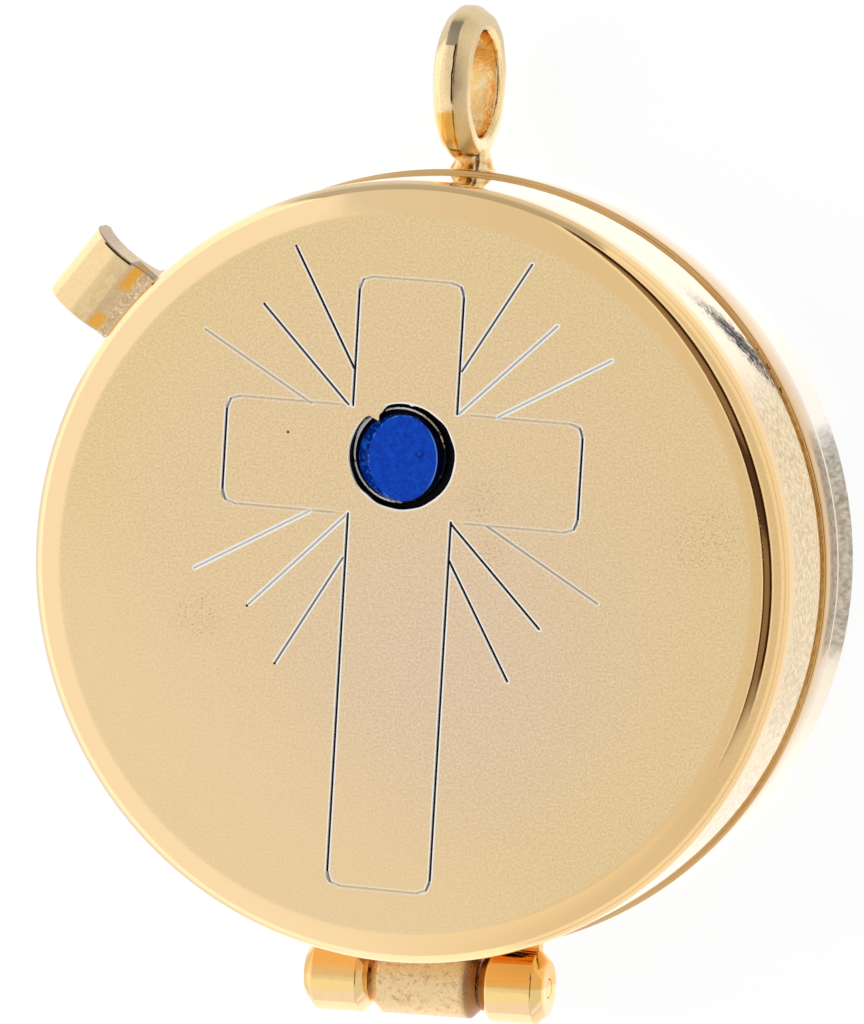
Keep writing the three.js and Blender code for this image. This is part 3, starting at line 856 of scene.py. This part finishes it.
# The stone: cobalt glass, cut by hand with a flat table to one side and a broad bevel. It stands
# on the floor of its seat in a thin collet of bright foil.
STONE_X = -0.435
STONE_MIDDLE = 7.45
STONE_RADIUS = 2.8
TABLE_RADIUS = 2.33
TABLE_SHIFT = 0.265
TABLE_HEIGHT = 19.88
TABLE_NARROWED = 0.97
TABLE_LENGTHENED = 1.17
COLLET_X = -0.515
COLLET_Y = 7.6
COLLET_RADIUS = 2.985
COLLET_TOP = 19.42
COLLET_FLARE = 0.075
STONE_BASE = 18.76
stone_section = [
    (0, STONE_BASE), (2.6, STONE_BASE), (STONE_RADIUS, 19.15),
    (STONE_RADIUS, 19.36), (STONE_RADIUS - 0.03, 19.42),
    (TABLE_RADIUS + 0.03, TABLE_HEIGHT - 0.03), (TABLE_RADIUS, TABLE_HEIGHT), (0, TABLE_HEIGHT),
]
stone = turn(
    "blue_stone", [(STONE_X + across, STONE_MIDDLE, up) for across, up in stone_section], 96,
    (STONE_X, STONE_MIDDLE, 0), (0, 0, 1),
)
for corner in stone.data.vertices:
    if corner.co.z > 19.6 * MM:
        corner.co.x = (STONE_X + TABLE_SHIFT) * MM + (corner.co.x - STONE_X * MM) * TABLE_NARROWED
        corner.co.y = STONE_MIDDLE * MM + (corner.co.y - STONE_MIDDLE * MM) * TABLE_LENGTHENED
smooth(stone, 15)
cobalt, place = new_material("cobalt_glass")
x, y, z = place.parts()
across = (x - STONE_X - TABLE_SHIFT) / TABLE_NARROWED
upward = (y - STONE_MIDDLE) / TABLE_LENGTHENED
from_table = distance(place.at(across, upward, 0), (0, 0, 0))
streaks = place.noise(3.2, 5, 0.7)
specks = place.noise(9.0, 3, 0.6).step(0.62, 0.72)
flaw = distance(place, (0.95, 7.75, TABLE_HEIGHT)).step(0.32, 0.22)
flaw = flaw * distance(place, (0.9, 7.8, TABLE_HEIGHT)).step(0.1, 0.2)
chipped = specks * from_table.step(1.2, 2.0)
bevel = (from_table + streaks * 0.10).step(TABLE_RADIUS + 0.03, TABLE_RADIUS + 0.08)
glint = from_table.step(TABLE_RADIUS - 0.07, TABLE_RADIUS - 0.03)
glint = glint * from_table.step(TABLE_RADIUS + 0.05, TABLE_RADIUS + 0.01)
glint = glint * place.math("MAXIMUM", x.step(1.2, 2.0), streaks.step(0.48, 0.6) * 0.5)
bright = streaks.step(0.35, 0.70).tint((0.0, 0.040, 0.42, 1), (0.0, 0.080, 0.63, 1))
bright = (chipped * 0.65 + flaw * 0.7).tint(bright, (0.0, 0.012, 0.16, 1))
shade = x.step(-2.2, 0.6).tint((0.002, 0.018, 0.20, 1), (0.002, 0.003, 0.030, 1))
shade = (streaks.step(0.50, 0.58) * x.step(0.8, -1.2)).tint(shade, (0.01, 0.09, 0.50, 1))
show(
    cobalt, place,
    Base_Color=glint.tint(bevel.tint(bright, shade), (0.12, 0.30, 0.85, 1)),
    Roughness=streaks * 0.1 + 0.04,
    Specular_IOR_Level=0.12,
    Normal=place.bump(streaks - specks * 0.5, 0.2, 0.02),
)
wear(stone, "lid", "stone", "stone_blue", cobalt)

foil_inside, foil_outside, foil_edge = COLLET_RADIUS - 0.06, COLLET_RADIUS + 0.07, 0.02
collet_section = [
    (foil_inside, STONE_BASE), (foil_inside, COLLET_TOP - foil_edge),
    (foil_inside + foil_edge, COLLET_TOP), (foil_outside - foil_edge, COLLET_TOP),
    (foil_outside, COLLET_TOP - foil_edge), (foil_outside, STONE_BASE), (foil_inside, STONE_BASE),
]
collet = turn(
    "collet", [(COLLET_X + across, COLLET_Y, up) for across, up in collet_section], 120,
    (COLLET_X, COLLET_Y, 0), (0, 0, 1),
)
for corner in collet.data.vertices:
    across, upward = corner.co.x / MM - COLLET_X, corner.co.y / MM - COLLET_Y
    if math.hypot(across, upward) > COLLET_RADIUS:
        around = math.degrees(math.atan2(upward, across))
        flare = 1 + COLLET_FLARE * math.exp(-((around - 146) / 11) ** 2)
        corner.co.x = (COLLET_X + across * flare) * MM
        corner.co.y = (COLLET_Y + upward * flare) * MM
smooth(collet, 50)
foil, place = new_material("foil")
x, y, z = place.parts()
torn = place.noise(1.6, 4, 0.7)
# Painted light: the foil is painted near black as shade, with a painted highlight along its top, pale on
# the left.
left_side = (x * -1.0 + y * 0.25).step(0.9, 2.6)
upper_right = (x * 0.6 + y).step(9.5, 10.2)
shine = (torn + left_side * 0.22 + upper_right * 0.16).step(0.56, 0.66) * z.step(19.36, 19.41)
foil_colour = left_side.tint((0.55, 0.43, 0.28, 1), (0.98, 0.96, 0.90, 1))
show(
    foil, place,
    Base_Color=shine.tint((0.004, 0.004, 0.012, 1), foil_colour),
    Roughness=0.6 - shine * 0.2,
    Specular_IOR_Level=0.1,
)
wear(collet, "lid", "stone", "stone_blue", foil)

# The table: plain and white. It is lit, so that the pyx's own soft shadow shows on it. The gilding
# mirrors it as white paper too, darker behind the pyx and to its right, with a painted shadow beside
# its right wall and under its cup.
PAPER = (0.8, 0.8, 0.8, 1)
PAPER_SEEN = (0.10, 0.10, 0.10, 1)
PAPER_MIRRORED = (0.3, 0.3, 0.3, 1)
GLOW_SEEN = (0.93, 0.93, 0.93, 1)
BLACK = (0, 0, 0, 1)
WHITE = (1, 1, 1, 1)
bpy.ops.object.select_all(action="DESELECT")
bpy.ops.mesh.primitive_plane_add(size=6, location=(0, 0, -0.00001))
table_top = bpy.context.object
table_top.name = "table_top"
paper, place = new_material("paper")
x, y, z = place.parts()
radius = distance(place.at(x, y, 0), (0, 0, 0))
sideways = (x * 0.9976 + y * 0.07) / radius
behind = y.step(14, 24) * (x - y * 0.36).step(6, -2) * (x + y * 0.6).step(-6, 2)
right = x.step(4, 14) * (1 - behind)
left = x.step(-18, -26) * (y + x * 0.4).step(2, -4)
dark_behind = behind * radius.step(28, 34) * (0.42 + radius.step(40, 72) * 0.30)
dark_right = right * (radius.step(31, 40) * 0.22 + radius.step(60, 66) * radius.step(84, 76) * 0.22)
# Painted shadow, seen only in the gilding: beside the right wall and under the cup.
shadow_beside_wall = radius.step(34, 31) * sideways.step(0.80, 0.93) * 0.15
shadow_under_cup = radius.step(27.6, 26.4) * (sideways + place.noise(1.2, 4, 0.7) * 0.03).step(0.955, 0.985)
shadow_under_cup = shadow_under_cup * (0.30 + place.noise(2.0, 4, 0.75).step(0.35, 0.65) * 0.36)
dark = place.math("MAXIMUM", dark_behind + dark_right, shadow_beside_wall + shadow_under_cup)
glow_mirrored = 1 - dark - left * radius.step(90, 40) * 0.38
glow_mirrored = glow_mirrored.tint(BLACK, WHITE)


def rays(place):
    """Whether a ray comes from the camera, and whether it comes from metal or glass."""
    camera, glossy, through = [
        place.node("LightPath", {}, {}, f"Is {kind} Ray") for kind in ("Camera", "Glossy", "Transmission")
    ]
    return camera, place.math("MAXIMUM", glossy, through)


camera_ray, mirror_ray = rays(place)
paper_colour = camera_ray.tint(mirror_ray.tint(PAPER, PAPER_MIRRORED), PAPER_SEEN)
matt = place.node("BsdfDiffuse", {}, {"Color": paper_colour})
glow = camera_ray.tint(mirror_ray.tint(BLACK, glow_mirrored), GLOW_SEEN)
lit = place.node("AddShader", {}, {0: matt, 1: place.node("Emission", {}, {"Color": glow})})
below = place.node("NewGeometry", {}, {}, "Backfacing")
clear = place.node("BsdfTransparent", {}, {})
surface = place.node("MixShader", {}, {0: below, 1: lit, 2: clear})
place.node("OutputMaterial", {}, {"Surface": surface})
table_top.data.materials.append(paper)

# The studio: white walls, dimmer on the right than on the left, a plain ceiling that is a little
# dimmer too, and the dark camera stand between two bright strips, leaning in on the right.
world = bpy.data.worlds.new("studio")
bpy.context.scene.world = world
world.use_nodes = True
world.node_tree.nodes.clear()
air = Wire(world.node_tree)
toward = air.node("TexCoord", {}, {}, "Generated")
x, y, z = toward.parts()
dim = air.math("MAXIMUM", x.step(-0.5, 0.35), (x + y * 0.2).step(-0.34, -0.26) * y.step(-0.05, 0.05))
room = air.math("MINIMUM", 1 - dim * 0.21, 1 - z.step(0.925, 0.945) * 0.18)
left_edge = x * 0.949 - y * 0.024 - z * 0.313
right_edge = x * 0.692 + y * 0.008 - z * 0.722
rim_light = left_edge.step(0.05, 0.09) * left_edge.step(0.16, 0.14)
rim_light = rim_light + right_edge.step(0.15, 0.17) * right_edge.step(0.30, 0.24)
room = room + rim_light * y.step(-0.50, -0.35) * (1 - room) * x.step(0.05, 0.2)
stand = left_edge.step(0.13, 0.16) * right_edge.step(0.18, 0.15) * y.step(-0.52, -0.28)
worn = right_edge.step(-0.30, -0.22) * right_edge.step(0.06, -0.02)
worn = worn * (1 - y.step(0.0, 0.08) * y.step(0.34, 0.26) * 0.8)
iron = worn.tint((0.030, 0.012, 0.008, 1), (0.30, 0.21, 0.15, 1))
mirrored = stand.tint(room.tint(BLACK, WHITE), iron)
camera_ray, mirror_ray = rays(air)
SOFT_GREY = (0.45, 0.45, 0.45, 1)
seen = mirror_ray.tint(SOFT_GREY, mirrored)
walls = air.node("Background", {}, {"Color": camera_ray.tint(seen, WHITE), "Strength": 1})
air.node("OutputWorld", {}, {"Surface": walls})


def soft_box(name, place, size, power):
    """A square soft box that faces the pyx."""
    light = bpy.data.lights.new(name, "AREA")
    light.shape = "SQUARE"
    light.size = size
    light.energy = power
    lamp = bpy.data.objects.new(name, light)
    bpy.context.scene.collection.objects.link(lamp)
    lamp.location = place
    lamp.rotation_mode = "QUATERNION"
    lamp.rotation_quaternion = (-Vector(place)).to_track_quat("-Z", "Y")
    lamp.visible_camera = False
    lamp.visible_glossy = False


soft_box("key", (-0.75, 0.15, 0.8), 0.6, 5.0)
soft_box("fill", (-0.2, -0.8, 0.7), 0.6, 2.0)

# The camera: a long lens that looks down on the lid from above and a little to the right, so that
# the right side of the wall, the band and the cup shows past the lid's edge.
lens = bpy.data.cameras.new("camera")
lens.sensor_width = 36
lens.lens = 357.39
lens.clip_start, lens.clip_end = 0.01, 20
CAMERA_PLACE = Vector((0.181222, 0.066613, 0.634485))
camera = bpy.data.objects.new("camera", lens)
bpy.context.scene.collection.objects.link(camera)
turned = Matrix((
    (0.9587, -0.05619, 0.27882),
    (0.03006, 0.99482, 0.0971),
    (-0.28283, -0.08471, 0.95542),
))
camera.matrix_world = Matrix.Translation(CAMERA_PLACE) @ turned.to_4x4()
bpy.context.scene.camera = camera
bpy.context.scene.view_settings.view_transform = "Standard"
